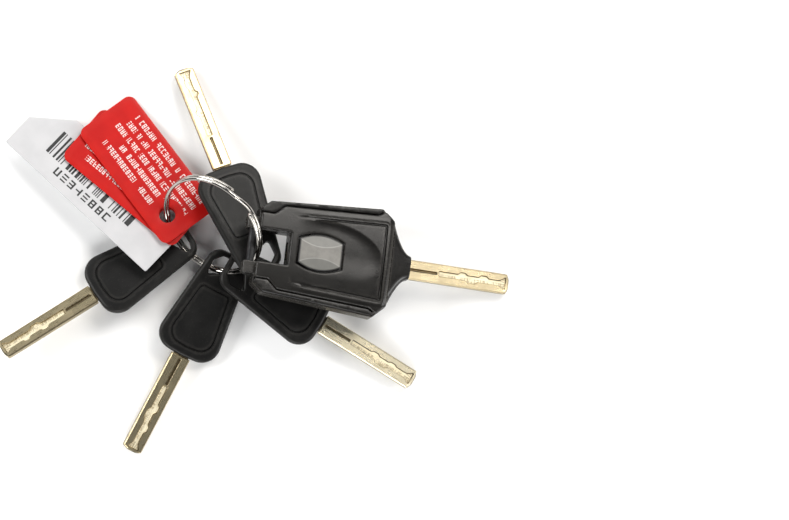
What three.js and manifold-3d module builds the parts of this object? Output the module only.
// A bunch of bicycle-lock keys on a split ring, lying on a table.
// Four plain keys, one key with a light in its head, and three tags hang on the ring.
// Millimetres, +Z up. The origin is under the middle of the bunch, on the table.
import * as THREE from "three";
import { mergeVertices } from "three/addons/utils/BufferGeometryUtils.js";
import Module from "manifold-3d";

// ---------- driving dimensions ----------

const FIT_GAP = 0.3; // between pieces that touch or sit in each other's pockets
const RUNNING_GAP = 0.25; // round a piece that moves in its guide
const STACK_GAP = 0.1; // between the layers on the circuit board

// split ring
const WIRE = 1.25; // diameter of the spring wire
const RING_RADIUS = 17.9; // from the ring's centre to the wire's centre
const TURN_GAP = 0.06; // between the two turns
const OVERLAP_ANGLE = 13; // half of the stretch where the wire steps to its second turn, degrees
const OVERLAP_AT = 85; // where that stretch is, from the ring's level diameter
const RING_TILT = 47.4; // of the ring's plane from the table
const RING_TURN = -45; // direction of the ring's level diameter
const RING_AT = [-13.2, 11.75]; // its centre on the table
const RING_LOW = 2.89; // height of the lowest point of the wire's centre line

// plain keys
const BOW_LENGTH = 37.25;
const BOW_WIDTH = 23.2; // across the corners at the blade end, before they are rounded
const BOW_NARROW = 13.8; // across the corners at the ring end, before they are rounded
const BOW_THICKNESS = 3.2;
const BOW_EYE_TO_END = 5.45; // from the middle of the eye to the ring end
const BOW_BLADE_CORNER = 7;
const BOW_RING_CORNER = 5;
const EYE_BAND = 1.85; // of plastic between the eye and the ring end
const EYE_FRONT = 4.4; // how far the eye reaches towards the panel
const EYE_HALF = 5.5;
const PANEL_START = 7.5; // from the eye
const PANEL_RING_HALF = 5.4; // half the panel's width at the ring end
const PANEL_INSET = 3.2; // of the sunk panel from the bow's edge
const PANEL_DEPTH = 0.4;
const BLADE_WIDTH = 6.5;
const BLADE_THICKNESS = 2.2;
const BLADE_LENGTH = 35.2; // in front of the bow
const BLADE_TIP_CHAMFER = 1.2;
const TANG_LENGTH = 16;
const TANG_WIDTH = 5.2;
const TANG_THICKNESS = 1.2; // the part inside a plain key's bow
const TRACK_WIDTH = 2; // milled along the middle of each face
const TRACK_DEPTH = 0.5;
const TRACK_START = 1; // from the bow

// lit key
const HEAD_LENGTH = 46.2; // from the ring bar to the nose
const HEAD_WIDTH = 36;
const HEAD_RING_WIDTH = 30.4;
const HEAD_THICKNESS = 8.4;
const SHOULDER_LENGTH = 4;
const SHOULDER_DROP = 3.8;
const ARM_START = 1.3;
const ARM_CHAMFER_X = 3.4;
const ARM_CHAMFER_Y = 2.8;
const SLOT_WIDTH = 10.8;
const SLOT_END = 12.1;
const PARTING = 1.5; // height of the joint between the case and its cover
const RIM_INSET = 2;
const COVER_ROOF = 1.2;
const CAVITY_START = 13.2;
const CAVITY_END = 43;
const NOSE_LENGTH = 6.8;
const NOSE_WIDTH = 7.8; // at the blade
const NOSE_STEP = 0.3; // between the nose's faces and the head's
const BAR_DIAMETER = 2.6;
const BAR_SOCKET = 3;
const LUG_WALL = 0.7; // round the bar, where the arms hold it in front of the slot
const BAR_HEIGHT = -0.4;
const LIT_BLADE_LENGTH = 33.9;
const LIT_BLADE_HEIGHT = -1.8;
const BUTTON_LENGTH = 15;
const BUTTON_WIDTH = 12.3;
const BUTTON_FLANK = 8.4; // width of the button at its two flat ends
const BUTTON_PROUD = 0.4;
const BUTTON_TRAVEL = 0.5;
const BUTTON_SETBACK = 0.6; // of its foot from the cavity's end wall, over the fit gap
const FLANGE = 0.6; // how far the button's foot stands out under the cover
const BOARD_THICKNESS = 0.8;
const BOARD_LENGTH = 28.4;
const BOARD_WIDTH = 22.4; // the cavity is wider by a gap on each side
const DOME_RADIUS = 3.2;
const DOME_HEIGHT = 0.35;
const CELL_SETBACK = 0.7; // of the cell from the button's foot
const CELL_THICKNESS = 1.2;
const CLIP_THICKNESS = 0.3;
const CLIP_WIDTH = 5;
const CLIP_REACH = 1.2; // of each leg past the cell's edge
const LED_RADIUS = 1.3;
const LED_LENGTH = 8;
const LED_FLANGE = 0.4;
const LED_RIM = 0.2; // how far the flange stands out
const LED_SUNK = 0.6; // behind the nose's end
const SCREW_RADIUS = 0.9;
const SCREW_HEAD_RADIUS = 1.7;
const SCREW_HEAD_HEIGHT = 1.1;
const SCREW_LENGTH = 6.2;
const SCREW_SUNK = 0.2; // below the case's underside
const SCREW_PLACES = [[7.2, 10.2], [7.2, -10.2], [40, 14], [40, -14]];

// tags
const TAG_EYE = 2.7; // radius of the punched eye
const RED_TAG = { length: 47.2, width: 21.8, thickness: 0.5, corner: 2.5, eye: [39.4, 7] };
const WHITE_TAG = { length: 62.7, width: 21.5, thickness: 0.6, corner: 0.6, eye: [56.2, 17.8] };
const WHITE_TAG_CUT = [12.2, 10.2]; // the white tag's one cut-off corner

// where each piece hangs on the ring (degrees from the ring's level diameter), how far the middle of its eye
// lies from the wire there (millimetres), and how it is turned (degrees): heading, pitch, roll
const KEY_PLACES = {
  key_1: { on: -104, off: [-0.72, -0.63, 0.8], turn: [-148, -3.1, 19.9] },
  key_2: { on: -43, off: [0.75, 0.45, -1.1], turn: [-117.8, 3.4, -15.4] },
  key_3: { on: -23, off: [0.56, -0.79, -0.45], turn: [-32.1, 7.3, -12.5] },
  key_4: { on: 4, off: [1.51, 1.68, -2.15], turn: [112.1, 11.2, 16.3] },
};
const LIT_PLACE = { on: 28, off: [-2.53, 0.54, -0.26], turn: [-8.7, 12.3, -10.4] };
const TAG_PLACES = {
  white_tag: { on: -130, off: [-0.1, -0.01, -0.09], turn: [-42.9, -4.4, -12.7] },
  red_tag_lower: { on: -134, off: [0.05, -0.16, 0.05], turn: [-39.5, -3.4, -12.8] },
  red_tag_upper: { on: -137, off: [0.07, -0.19, 0.29], turn: [-52.7, -6.2, -11.7] },
};

// ---------- materials ----------

function material(color, roughness, metalness) {
  return new THREE.MeshStandardMaterial({ color, roughness, metalness });
}
const steel = material(0xb9b4ab, 0.22, 1);
const nickelSilver = material(0xb39f72, 0.32, 1);
const blackPlastic = material(0x1c1b19, 0.45, 0);
const caseBlack = material(0x1a1917, 0.38, 0);
const greyRubber = material(0x8b8882, 0.5, 0);
const redTagPlastic = material(0xd2140f, 0.42, 0);
const whiteTagPlastic = material(0xe4e2e3, 0.5, 0);
const boardGreen = material(0x1f5a35, 0.5, 0);
const cellSteel = material(0xc8c8c6, 0.3, 1);
const springSteel = material(0xa8a49a, 0.35, 1);
const ledClear = material(0xe8ecef, 0.1, 0);

// ---------- solids ----------

const wasm = await Module();
wasm.setup();

function toSolid(geometry) {
  const bare = geometry.clone();
  bare.deleteAttribute("normal");
  bare.deleteAttribute("uv");
  const merged = mergeVertices(bare, 1e-4);
  return new wasm.Manifold(
    new wasm.Mesh({
      numProp: 3,
      vertProperties: merged.attributes.position.array,
      triVerts: new Uint32Array(merged.index.array),
    }),
  );
}

function toGeometry(solid) {
  const { vertProperties, triVerts } = solid.getMesh();
  const geometry = new THREE.BufferGeometry();
  geometry.setAttribute("position", new THREE.BufferAttribute(vertProperties, 3));
  geometry.setIndex(new THREE.BufferAttribute(triVerts, 1));
  const flat = geometry.toNonIndexed();
  flat.computeVertexNormals();
  return flat;
}

function cut(geometry, tools) {
  return toGeometry(tools.reduce((solid, tool) => solid.subtract(toSolid(tool)), toSolid(geometry)));
}

function join(geometries) {
  return toGeometry(geometries.map(toSolid).reduce((whole, piece) => whole.add(piece)));
}

function part(name, geometry, finish) {
  const mesh = new THREE.Mesh(geometry, finish);
  mesh.name = name;
  return mesh;
}

// An outline through the corners [x, y, radius], each rounded to its radius.
function outline(corners) {
  const shape = new THREE.Shape();
  const points = corners.map(([x, y]) => new THREE.Vector2(x, y));
  corners.forEach(([, , radius = 0], i) => {
    const corner = points[i];
    const before = points.at(i - 1).clone().sub(corner).normalize();
    const after = points[(i + 1) % points.length].clone().sub(corner).normalize();
    const half = Math.acos(THREE.MathUtils.clamp(before.dot(after), -1, 1)) / 2;
    const reach = radius / Math.tan(half);
    const start = corner.clone().addScaledVector(before, reach);
    const end = corner.clone().addScaledVector(after, reach);
    if (i === 0) shape.moveTo(start.x, start.y);
    else shape.lineTo(start.x, start.y);
    if (radius > 0) shape.quadraticCurveTo(corner.x, corner.y, end.x, end.y);
  });
  shape.closePath();
  return shape;
}

// A plate of an outline from one height to another.
function plate(shape, low, high, curveSegments = 5) {
  const settings = { depth: high - low, bevelEnabled: false, curveSegments };
  return new THREE.ExtrudeGeometry(shape, settings).translate(0, 0, low);
}

function block(x0, x1, y0, y1, z0, z1) {
  const geometry = new THREE.BoxGeometry(x1 - x0, y1 - y0, z1 - z0);
  return geometry.translate((x0 + x1) / 2, (y0 + y1) / 2, (z0 + z1) / 2);
}

function upright(radius, x, y, z0, z1, sides = 20) {
  const geometry = new THREE.CylinderGeometry(radius, radius, z1 - z0, sides);
  return geometry.rotateX(Math.PI / 2).translate(x, y, (z0 + z1) / 2);
}

// A group at a place, turned by heading, then pitch, then roll.
function placed(at, turn, meshes) {
  const group = new THREE.Group();
  const [heading, pitch, roll] = turn.map(THREE.MathUtils.degToRad);
  group.rotation.set(roll, pitch, heading, "ZYX");
  group.position.set(...at);
  group.add(...meshes);
  return group;
}

// ---------- split ring ----------

const RING_CENTRE = [...RING_AT, RING_LOW + RING_RADIUS * Math.sin(THREE.MathUtils.degToRad(RING_TILT))];

// The wire's centre line: one level turn, a smooth step sideways, and a second turn.
class CoilCurve extends THREE.Curve {
  getPoint(t, target = new THREE.Vector3()) {
    const angle = THREE.MathUtils.lerp(OVERLAP_ANGLE + 1, 720 - OVERLAP_ANGLE - 1, t);
    const step = THREE.MathUtils.smootherstep(angle, 360 - OVERLAP_ANGLE, 360 + OVERLAP_ANGLE);
    const along = THREE.MathUtils.degToRad(angle + OVERLAP_AT);
    const pitch = WIRE + TURN_GAP;
    return target.set(RING_RADIUS * Math.cos(along), RING_RADIUS * Math.sin(along), (step - 0.5) * pitch);
  }
}

function splitRing() {
  const section = new THREE.Shape().absarc(0, 0, WIRE / 2, 0, Math.PI * 2);
  const geometry = new THREE.ExtrudeGeometry(section, {
    extrudePath: new CoilCurve(),
    steps: 84,
    curveSegments: 8,
  });
  return placed(RING_CENTRE, [RING_TURN, 0, RING_TILT], [part("split_ring", geometry, steel)]);
}

// A group whose eye is near the wire, at an angle round the ring.
function hung({ on, off, turn }, meshes) {
  const angle = THREE.MathUtils.degToRad(on);
  const [turned, tilted] = [RING_TURN, RING_TILT].map(THREE.MathUtils.degToRad);
  const wire = new THREE.Vector3(RING_RADIUS * Math.cos(angle), RING_RADIUS * Math.sin(angle), 0);
  wire.applyEuler(new THREE.Euler(tilted, 0, turned, "ZYX"));
  const eye = wire.add(new THREE.Vector3(...RING_CENTRE)).add(new THREE.Vector3(...off));
  return placed(eye.toArray(), turn, meshes);
}

// ---------- plain keys ----------

const BOW_FRONT = BOW_LENGTH - BOW_EYE_TO_END; // x of the bow's blade end, from the eye

function bowOutline(inset) {
  const front = BOW_FRONT - inset;
  const back = inset - BOW_EYE_TO_END;
  const wide = BOW_WIDTH / 2 - inset;
  const narrow = BOW_NARROW / 2 - inset;
  const frontCorner = BOW_BLADE_CORNER - inset * 0.6;
  const backCorner = Math.max(BOW_RING_CORNER - inset, 1);
  return [
    [front, -wide, frontCorner],
    [front, wide, frontCorner],
    [back, narrow, backCorner],
    [back, -narrow, backCorner],
  ];
}

// The eye is a lopsided D: its blade side runs aslant and its ring side follows the bow's end.
function eyeOutline() {
  const back = EYE_BAND - BOW_EYE_TO_END;
  const slant = back + 2.5;
  return outline([
    [EYE_FRONT, -EYE_HALF, 0.8],
    [slant, EYE_HALF - 0.2, 0.7],
    [back + 0.8, EYE_HALF - 0.2, 0.7],
    [back, 2.4, 1],
    [back, -3, 1.2],
    [slant, -EYE_HALF - 0.5, 1.2],
  ]);
}

function panelOutline() {
  const [frontLow, frontHigh] = bowOutline(PANEL_INSET);
  return outline([
    frontLow,
    frontHigh,
    [PANEL_START, PANEL_RING_HALF, 1.5],
    [PANEL_START, -PANEL_RING_HALF, 1.5],
  ]);
}

function bow() {
  const half = BOW_THICKNESS / 2;
  const tangHalf = TANG_WIDTH / 2 + FIT_GAP;
  const thick = TANG_THICKNESS / 2 + FIT_GAP;
  const pocket = block(BOW_FRONT - TANG_LENGTH - FIT_GAP, BOW_FRONT + 1, -tangHalf, tangHalf, -thick, thick);
  const upperPanel = plate(panelOutline(), half - PANEL_DEPTH, half + 1);
  const lowerPanel = plate(panelOutline(), -half - 1, PANEL_DEPTH - half);
  const eye = plate(eyeOutline(), -half - 1, half + 1, 3);
  const body = plate(outline(bowOutline(0)), -half, half, 6);
  return cut(body, [eye, pocket, upperPanel, lowerPanel]);
}

function bladeOutline(start, length) {
  const end = start + length;
  const half = BLADE_WIDTH / 2;
  return outline([
    [start, -half],
    [end, -half, BLADE_TIP_CHAMFER],
    [end, half, BLADE_TIP_CHAMFER],
    [start, half],
  ]);
}

// A flat blade with a track milled along the middle of each face.
function blade(start, length, tangStart, tangThickness) {
  const half = BLADE_THICKNESS / 2;
  const tangHalf = tangThickness / 2;
  const tang = block(tangStart, start + 1, -TANG_WIDTH / 2, TANG_WIDTH / 2, -tangHalf, tangHalf);
  const flat = plate(bladeOutline(start, length), -half, half, 3);
  const trackFrom = start + TRACK_START;
  const trackTo = start + length + 1;
  const tracks = [-1, 1].map((side) => {
    const deep = side * (half - TRACK_DEPTH);
    const clear = side * (half + 1);
    const low = Math.min(deep, clear);
    return block(trackFrom, trackTo, -TRACK_WIDTH / 2, TRACK_WIDTH / 2, low, Math.max(deep, clear));
  });
  return cut(join([flat, tang]), tracks);
}

function plainKey(name) {
  const start = BOW_FRONT + FIT_GAP;
  const metal = blade(start, BLADE_LENGTH - FIT_GAP, BOW_FRONT - TANG_LENGTH, TANG_THICKNESS);
  return hung(KEY_PLACES[name], [
    part(`${name}_bow`, bow(), blackPlastic),
    part(`${name}_blade`, metal, nickelSilver),
  ]);
}

// ---------- lit key ----------

const HEAD_LOW = -HEAD_THICKNESS / 2;
const HEAD_HIGH = HEAD_THICKNESS / 2;
const SHOULDER_X = HEAD_LENGTH - SHOULDER_LENGTH;
const SHOULDER_HALF = HEAD_WIDTH / 2 - SHOULDER_DROP;
const CAVITY_FLOOR = LIT_BLADE_HEIGHT - BLADE_THICKNESS / 2 - FIT_GAP; // level with the tang's channel
const COVER_LOW = PARTING + FIT_GAP;
const COVER_CEILING = HEAD_HIGH - COVER_ROOF;
const BOARD_LOW = LIT_BLADE_HEIGHT + BLADE_THICKNESS / 2 + FIT_GAP;
const BOARD_TOP = BOARD_LOW + FIT_GAP + BOARD_THICKNESS;
const DOME_LOW = BOARD_TOP + STACK_GAP;
const BUTTON_X = CAVITY_START + FIT_GAP + BUTTON_SETBACK + FLANGE + BUTTON_LENGTH / 2;
const CELL_START = BUTTON_X + BUTTON_LENGTH / 2 + FLANGE + CELL_SETBACK;
const CELL_RADIUS = (CAVITY_END - FIT_GAP - CELL_START) / 2; // it fills the cavity's free end
const CELL_X = CELL_START + CELL_RADIUS;

// The head seen from above: two arms round the slot, straight flaring sides and cut shoulders.
function headOutline(inset) {
  const wide = HEAD_WIDTH / 2 - inset;
  const ringWide = HEAD_RING_WIDTH / 2 - inset;
  const slot = SLOT_WIDTH / 2;
  const armTip = ringWide - ARM_CHAMFER_Y;
  const upper = [
    [ARM_START, slot],
    [ARM_START, armTip],
    [ARM_START + ARM_CHAMFER_X, ringWide],
    [SHOULDER_X - inset * 0.4, wide],
    [HEAD_LENGTH, SHOULDER_HALF - inset * 0.4],
  ];
  const lower = upper.map(([x, y]) => [x, -y]).reverse();
  return outline([[SLOT_END, -slot], [SLOT_END, slot], ...upper, ...lower]);
}

function cavity(low, high) {
  const half = BOARD_WIDTH / 2 + FIT_GAP;
  return block(CAVITY_START, CAVITY_END, -half, half, low, high);
}

function screwHoles(low, high, radius) {
  return SCREW_PLACES.map(([x, y]) => upright(radius, x, y, low, high, 12));
}

function litBar(radius, socket) {
  const length = SLOT_WIDTH + 2 * socket;
  const bar = new THREE.CylinderGeometry(radius, radius, length, 14);
  return bar.translate(0, 0, BAR_HEIGHT);
}

// The lugs in front of the arms that hold the bar's ends.
function lugs() {
  const wall = BAR_DIAMETER / 2 + FIT_GAP + LUG_WALL;
  const inner = SLOT_WIDTH / 2;
  const outer = inner + BAR_SOCKET + FIT_GAP + LUG_WALL;
  const low = BAR_HEIGHT - wall;
  const high = Math.min(BAR_HEIGHT + wall, PARTING);
  const left = block(-wall, ARM_START + 1, inner, outer, low, high);
  const right = block(-wall, ARM_START + 1, -outer, -inner, low, high);
  return [left, right];
}

function lowerCase() {
  const body = join([plate(headOutline(0), HEAD_LOW, PARTING), ...lugs()]);
  const tangHalf = TANG_WIDTH / 2 + FIT_GAP;
  const channel = block(SLOT_END - 1, HEAD_LENGTH + 1, -tangHalf, tangHalf, CAVITY_FLOOR, BOARD_LOW);
  const ledWay = ledBore(PARTING + 1);
  const seat = HEAD_LOW + SCREW_SUNK + SCREW_HEAD_HEIGHT + FIT_GAP;
  const counterbore = screwHoles(HEAD_LOW - 1, seat, SCREW_HEAD_RADIUS + FIT_GAP);
  const shanks = screwHoles(HEAD_LOW - 1, PARTING + 1, SCREW_RADIUS + FIT_GAP);
  const socket = litBar(BAR_DIAMETER / 2 + FIT_GAP, BAR_SOCKET + FIT_GAP);
  const hollow = cavity(CAVITY_FLOOR, PARTING + 1);
  return cut(body, [hollow, channel, socket, ledWay, ...counterbore, ...shanks]);
}

function buttonOutline(grow) {
  const end = BUTTON_LENGTH / 2 + grow;
  const flank = BUTTON_FLANK / 2 + grow;
  const crown = BUTTON_WIDTH - BUTTON_FLANK / 2 + grow; // control point of the barrel curve
  const shape = new THREE.Shape();
  shape.moveTo(-end, -flank);
  shape.quadraticCurveTo(0, -crown, end, -flank);
  shape.lineTo(end, flank);
  shape.quadraticCurveTo(0, crown, -end, flank);
  shape.closePath();
  return shape;
}

function topCover() {
  const body = plate(headOutline(RIM_INSET), COVER_LOW, HEAD_HIGH);
  const opening = plate(buttonOutline(RUNNING_GAP), COVER_LOW - 1, HEAD_HIGH + 1, 8);
  opening.translate(BUTTON_X, 0, 0);
  const shanks = screwHoles(COVER_LOW - 1, HEAD_LOW + SCREW_LENGTH + FIT_GAP, SCREW_RADIUS + FIT_GAP);
  const hollow = cavity(COVER_LOW - 1, COVER_CEILING);
  return cut(body, [hollow, opening, ledBore(COVER_LOW + 1), ...shanks]);
}

function button() {
  const high = HEAD_HIGH + BUTTON_PROUD;
  const flangeLow = DOME_LOW + DOME_HEIGHT + BUTTON_TRAVEL + RUNNING_GAP;
  const crown = plate(buttonOutline(0), flangeLow, high, 8);
  const flange = plate(buttonOutline(FLANGE), flangeLow, COVER_CEILING - FIT_GAP, 8);
  return join([crown, flange]).translate(BUTTON_X, 0, 0);
}

const LED_HEIGHT = BOARD_LOW + LED_RADIUS + LED_RIM + FIT_GAP;
const NOSE_START = HEAD_LENGTH + FIT_GAP;
const NOSE_END = HEAD_LENGTH + NOSE_LENGTH;
const LED_TIP = NOSE_END - LED_SUNK;

// The light's bore: it opens down into the tang's channel, and up to a given height.
function ledBore(openTo) {
  const half = LED_RADIUS + LED_RIM + FIT_GAP;
  const high = Math.max(openTo, LED_HEIGHT + half);
  return block(CAVITY_END - 1, HEAD_LENGTH + 1, -half, half, BOARD_LOW - FIT_GAP, high);
}

function nose() {
  const half = SHOULDER_HALF - NOSE_STEP;
  const tip = NOSE_WIDTH / 2;
  const waist = NOSE_START + NOSE_LENGTH / 4;
  const shape = new THREE.Shape();
  shape.moveTo(NOSE_START, -half);
  shape.quadraticCurveTo(waist, -half * 0.45, NOSE_END, -tip);
  shape.lineTo(NOSE_END, tip);
  shape.quadraticCurveTo(waist, half * 0.45, NOSE_START, half);
  shape.closePath();
  const body = plate(shape, HEAD_LOW + NOSE_STEP, HEAD_HIGH - NOSE_STEP, 6);
  const bladeHalf = BLADE_WIDTH / 2 + FIT_GAP;
  const thick = BLADE_THICKNESS / 2 + FIT_GAP;
  const low = LIT_BLADE_HEIGHT - thick;
  const way = block(NOSE_START - 1, NOSE_END + 1, -bladeHalf, bladeHalf, low, LIT_BLADE_HEIGHT + thick);
  const bore = new THREE.CylinderGeometry(LED_RADIUS + FIT_GAP, LED_RADIUS + FIT_GAP, NOSE_LENGTH + 2, 16);
  bore.rotateZ(Math.PI / 2).translate(NOSE_START + NOSE_LENGTH / 2, 0, LED_HEIGHT);
  return cut(body, [way, bore]);
}

function litBlade() {
  const length = NOSE_LENGTH + LIT_BLADE_LENGTH - FIT_GAP;
  return blade(NOSE_START, length, SLOT_END + FIT_GAP, BLADE_THICKNESS).translate(0, 0, LIT_BLADE_HEIGHT);
}

function led() {
  const back = LED_TIP - LED_LENGTH;
  const profile = [
    [0, back],
    [LED_RADIUS + LED_RIM, back],
    [LED_RADIUS + LED_RIM, back + LED_FLANGE],
    [LED_RADIUS, back + LED_FLANGE],
    [LED_RADIUS, LED_TIP - LED_RADIUS],
    [LED_RADIUS * 0.7, LED_TIP - LED_RADIUS * 0.3],
    [0, LED_TIP],
  ].map(([x, y]) => new THREE.Vector2(x, y));
  const geometry = new THREE.LatheGeometry(profile, 14);
  return geometry.rotateZ(-Math.PI / 2).translate(0, 0, LED_HEIGHT);
}

function circuitBoard() {
  const start = CAVITY_START + FIT_GAP;
  const half = BOARD_WIDTH / 2;
  return block(start, start + BOARD_LENGTH, -half, half, BOARD_TOP - BOARD_THICKNESS, BOARD_TOP);
}

function snapDome() {
  const profile = [
    [0, 0],
    [DOME_RADIUS, 0],
    [DOME_RADIUS * 0.6, DOME_HEIGHT * 0.8],
    [0, DOME_HEIGHT],
  ].map(([x, y]) => new THREE.Vector2(x, y));
  return new THREE.LatheGeometry(profile, 18).rotateX(Math.PI / 2).translate(BUTTON_X, 0, DOME_LOW);
}

function coinCell() {
  const low = BOARD_TOP + STACK_GAP;
  return upright(CELL_RADIUS, CELL_X, 0, low, low + CELL_THICKNESS, 28);
}

function cellClip() {
  const foot = BOARD_TOP + STACK_GAP;
  const low = foot + CELL_THICKNESS + STACK_GAP;
  const reach = CELL_RADIUS + CLIP_REACH;
  const half = CLIP_WIDTH / 2;
  const strap = block(CELL_X - half, CELL_X + half, -reach, reach, low, low + CLIP_THICKNESS);
  const legs = [-1, 1].map((side) => {
    const outer = side * reach;
    const inner = side * (reach - CLIP_THICKNESS);
    const y0 = Math.min(outer, inner);
    return block(CELL_X - half, CELL_X + half, y0, Math.max(outer, inner), foot, low + CLIP_THICKNESS);
  });
  return join([strap, ...legs]);
}

// A pan-head screw driven up from the case's underside.
function caseScrew([x, y]) {
  const low = HEAD_LOW + SCREW_SUNK;
  const head = upright(SCREW_HEAD_RADIUS, x, y, low, low + SCREW_HEAD_HEIGHT, 14);
  const shank = upright(SCREW_RADIUS, x, y, low + SCREW_HEAD_HEIGHT / 2, HEAD_LOW + SCREW_LENGTH, 10);
  return join([head, shank]);
}

function litKey() {
  const screws = SCREW_PLACES.map((place, i) => {
    return part(`lit_case_screw_${i + 1}`, caseScrew(place), springSteel);
  });
  return hung(LIT_PLACE, [
    part("lit_lower_case", lowerCase(), caseBlack),
    part("lit_top_cover", topCover(), caseBlack),
    part("lit_nose", nose(), caseBlack),
    part("lit_blade", litBlade(), nickelSilver),
    part("lit_ring_bar", litBar(BAR_DIAMETER / 2, BAR_SOCKET), steel),
    part("lit_button", button(), greyRubber),
    part("lit_circuit_board", circuitBoard(), boardGreen),
    part("lit_snap_dome", snapDome(), springSteel),
    part("lit_coin_cell", coinCell(), cellSteel),
    part("lit_cell_clip", cellClip(), springSteel),
    part("lit_led", led(), ledClear),
    ...screws,
  ]);
}

// ---------- tags ----------

function tagPlate({ length, width, thickness, corner, eye }, cutOff) {
  const [eyeX, eyeY] = eye;
  const left = -eyeX;
  const right = length - eyeX;
  const low = -eyeY;
  const high = width - eyeY;
  const farCorner = cutOff ? [[left + cutOff[0], high], [left, high - cutOff[1]]] : [[left, high, corner]];
  const shape = outline([[left, low, corner], [right, low, corner], [right, high, corner], ...farCorner]);
  shape.holes.push(new THREE.Path().absarc(0, 0, TAG_EYE, 0, Math.PI * 2, true));
  return plate(shape, -thickness / 2, thickness / 2, 6);
}

function tag(name, size, finish, cutOff) {
  return hung(TAG_PLACES[name], [part(name, tagPlate(size, cutOff), finish)]);
}

// ---------- the bunch ----------

const bunch = new THREE.Group();
bunch.add(splitRing());
bunch.add(...Object.keys(KEY_PLACES).map(plainKey));
bunch.add(litKey());
bunch.add(tag("white_tag", WHITE_TAG, whiteTagPlastic, WHITE_TAG_CUT));
bunch.add(tag("red_tag_lower", RED_TAG, redTagPlastic));
bunch.add(tag("red_tag_upper", RED_TAG, redTagPlastic));

export default bunch;
